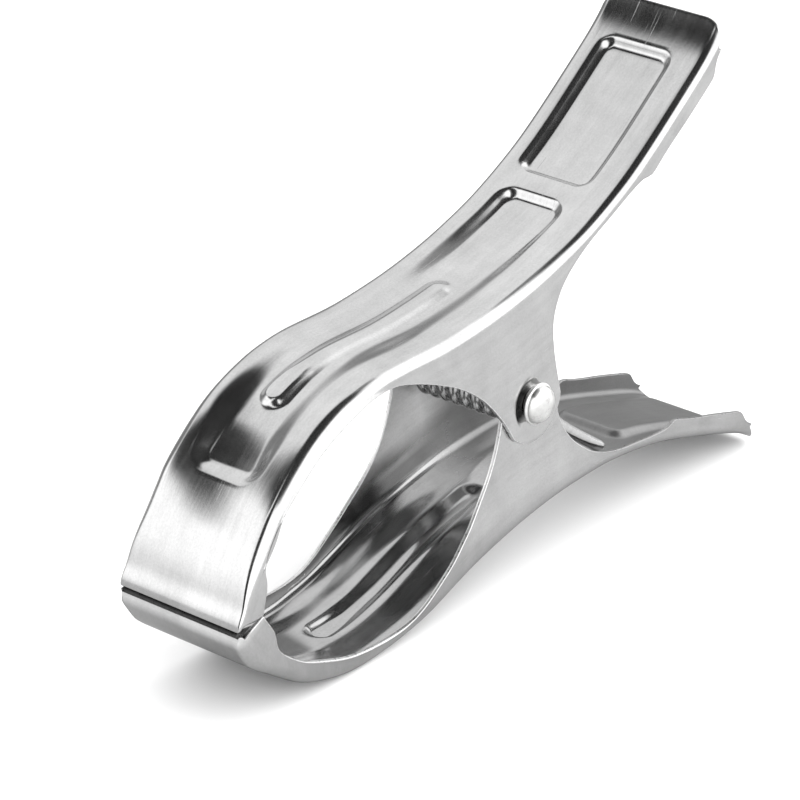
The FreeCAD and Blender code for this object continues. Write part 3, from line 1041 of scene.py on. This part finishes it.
# ----------------------------------------------------------------------- stage
def make_table():
    """The clip lies on its belly and lower handle end, so the table leans to z = 0."""
    tilt = math.radians(10.2)
    reach = 3.0
    clearance = 0.00005
    normal = Vector((math.sin(tilt), 0, math.cos(tilt)))
    belly = [Vector(((x + PIVOT_X) * MM, 0,
                     -(z + LOWER_BELLY * float(lower_fullness(run))) * MM))
             for (x, z), run in zip(WEB_LINE[::10], WEB_RUN[::10])]
    height = min(point.dot(normal) for point in belly) - clearance
    pivot = Vector((PIVOT_M, 0, 0))
    centre = normal * height + pivot - normal * pivot.dot(normal)
    slope = Vector((math.cos(tilt), 0, -math.sin(tilt)))
    level = Vector((0, 1, 0))
    corners = [tuple(centre + slope * i * reach + level * j * reach)
               for i, j in ((-1, -1), (1, -1), (1, 1), (-1, 1))]
    mesh = bpy.data.meshes.new("table_plane")
    mesh.from_pydata(corners, [], [(0, 1, 2, 3)])
    table = link_object("table_plane", mesh)
    table.data.materials.append(table_material())


def mirrored_tent(graph, dx, dy, dz):
    """What the steel mirrors: a bright tent with an unlit ceiling and gaps.

    Angles are in degrees: `height` over the horizon, `turn` from +X towards +Y and
    `back_turn` from -X towards -Y.
    """
    degrees = 180 / math.pi
    level = graph.math("SQRT", dx * dx + dy * dy)
    height = graph.math("ARCTAN2", dz, level) * degrees
    turn = graph.math("ARCTAN2", dy, dx) * degrees
    back_turn = graph.math("ARCTAN2", dy * -1.0, dx * -1.0) * degrees
    inverse = 1.0 / graph.maximum(level, 0.02)
    # the ceiling comes down lowest opposite this direction, near -Y
    high_side = math.radians(98)
    toward_high = (dx * math.cos(high_side) + dy * math.sin(high_side)) * inverse
    ceiling = graph.window(height - toward_high * 7.0, rise=(50.0, 62.0))
    flap = (graph.window(turn, rise=(97, 110), fall=(140, 150))
            * graph.window(height, rise=(34.0, 45.0)))
    gap = (graph.window(back_turn, rise=(-28, -20), fall=(10, 18))
           * graph.window(height, rise=(0.0, 8.0)))
    unlit = graph.maximum(ceiling, graph.maximum(flap, gap))
    # dimmer panel between +X and +Y, a little brighter upwards
    full = 2.0
    panel = graph.window(turn, rise=(-5, 18), fall=(102, 114))
    panel_level = graph.ramp(graph.window(height, rise=(20, 36)), span=(0, 1), to=(1.15, 1.22))
    back = graph.window(turn, rise=(100, 120), fall=(160, 175))
    tent = full + panel * (panel_level - full)
    tent = tent - back * 0.12
    # low band between -X and +Y
    back_low = (graph.window(back_turn, rise=(-80, -65), fall=(-22, -12))
                * (1.0 - graph.window(height, rise=(2.0, 30.0))))
    tent = graph.darken(tent, back_low, by=0.38)
    # thin seam high over +X
    seam = (graph.window(turn, rise=(-14, -4), fall=(16, 28))
            * graph.window(height, rise=(47.5, 50.0), fall=(55.0, 58.0)))
    tent = graph.darken(tent, seam, by=0.75)
    # the panel's lower edge climbs by half a degree per degree past 48
    low_edge = 11.0 + graph.maximum(turn - 48.0, 0.0) * 0.5
    over_edge = graph.window(height - low_edge, rise=(-6.0, 5.0))
    low = graph.window(turn, rise=(-10, 15), fall=(98, 110)) * (1.0 - over_edge)
    tent = graph.darken(tent, low, by=0.72)
    return graph.darken(tent, unlit, by=0.985)


def make_world():
    world = bpy.data.worlds.new("studio")
    bpy.context.scene.world = world
    graph = Graph(world)
    dx, dy, dz = graph.split(graph.node("ShaderNodeTexCoord", output="Generated"))
    mirrored = mirrored_tent(graph, dx, dy, dz)
    # light on the table: stronger from the +X, -Y side
    side = dx * 0.60 + dy * -0.80
    soft = 1.75 * (1.0 + side * 0.70)
    glossy = graph.node("ShaderNodeLightPath", output="Is Glossy Ray")
    graph.surface("ShaderNodeBackground", {
        "Color": graph.mix(glossy, soft, mirrored, data_type="FLOAT"), "Strength": 1.0},
        output_kind="ShaderNodeOutputWorld")


def make_light():
    """Weak square light from the -X, -Y side, unseen in the steel."""
    place, target = Vector((-0.5, -0.35, 0.55)), Vector((0.05, 0, 0))
    light = bpy.data.lights.new("soft_left", "AREA")
    light.shape = "RECTANGLE"
    light.size = 0.5
    light.size_y = 0.5
    light.energy = 0.5
    lamp = link_object("soft_left", light)
    lamp.location = place
    lamp.rotation_mode = "QUATERNION"
    lamp.rotation_quaternion = (target - place).to_track_quat("-Z", "Y")
    lamp.visible_glossy = False


def make_camera():
    """Long lens from the -X, -Y side, above."""
    turn, rise, roll = -0.807258268, 0.577866931, -0.134802656      # radians
    # the aim point as the camera sees it: right, up and behind the lens, in metres
    aim_in_view = np.array([0.01152600905, 0.00268773964, -0.6275480196])
    aim = np.array([PIVOT_M, -0.5 * MM, 0])
    back = np.array([math.sin(turn) * math.cos(rise), -math.cos(turn) * math.cos(rise),
                     math.sin(rise)])
    level_right = np.cross([0, 0, 1.0], back)
    level_right /= np.linalg.norm(level_right)
    level_up = np.cross(back, level_right)
    right = math.cos(roll) * level_right + math.sin(roll) * level_up
    up = -math.sin(roll) * level_right + math.cos(roll) * level_up
    place = aim - aim_in_view @ np.array([right, up, back])
    lens = bpy.data.cameras.new("camera")
    lens.sensor_width = 36.0
    lens.lens = 188.1414626
    lens.clip_start = 0.01
    lens.clip_end = 20
    camera = link_object("camera", lens)
    camera.matrix_world = Matrix([[right[k], up[k], back[k], place[k]] for k in range(3)]
                                 + [[0, 0, 0, 1]])
    bpy.context.scene.camera = camera


# -------------------------------------------------------------------- assembly
sheet_steel = sheet_material()
# the sheared edge gets painted shade on the handle and at the jaw tips
edge_steel = metal_material("sheared_edge_steel", colour=(0.80, 0.80, 0.80), roughness=0.30,
                            spread=0.05, grain_scale=1600, bump=0.12,
                            handle_shade=0.45, tip_shade=0.10)
rivet_steel = metal_material("rivet_head_steel", colour=(0.86, 0.86, 0.85), roughness=0.33,
                             spread=0.08, grain_scale=900, bump=0.55, relief=0.00009)
wire_steel = metal_material("drawn_wire_steel", colour=(0.68, 0.68, 0.68), roughness=0.17,
                            spread=0.03, grain_scale=1500, bump=0.10)

upper = make_shell("upper_shell_pressing", Edge(FRONT, BACK, belly=0.0),
                   die_shift=1.0, is_lower=False)
lower = make_shell("lower_shell_pressing", Edge(FRONT_LOW, BACK_LOW, belly=LOWER_BELLY),
                   die_shift=-0.3, is_lower=True)
for shell, piece, body in ((upper, "upper_shell", "upper"), (lower, "lower_shell", "lower")):
    shell.data.materials.append(sheet_steel)
    shell.data.materials.append(edge_steel)
    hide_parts(piece)
    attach(shell, body)

rivet = make_lathe("domed_rivet", rivet_profile(), segments=72)
rivet.data.materials.append(rivet_steel)
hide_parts("pivot_rivet")
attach(rivet, "upper")

spring = make_spring("coiled_spring_wire")
spring.data.materials.append(wire_steel)
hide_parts("torsion_spring")
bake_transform(spring)

make_table()
make_world()
make_light()
make_camera()
bpy.context.scene.view_settings.view_transform = "Standard"
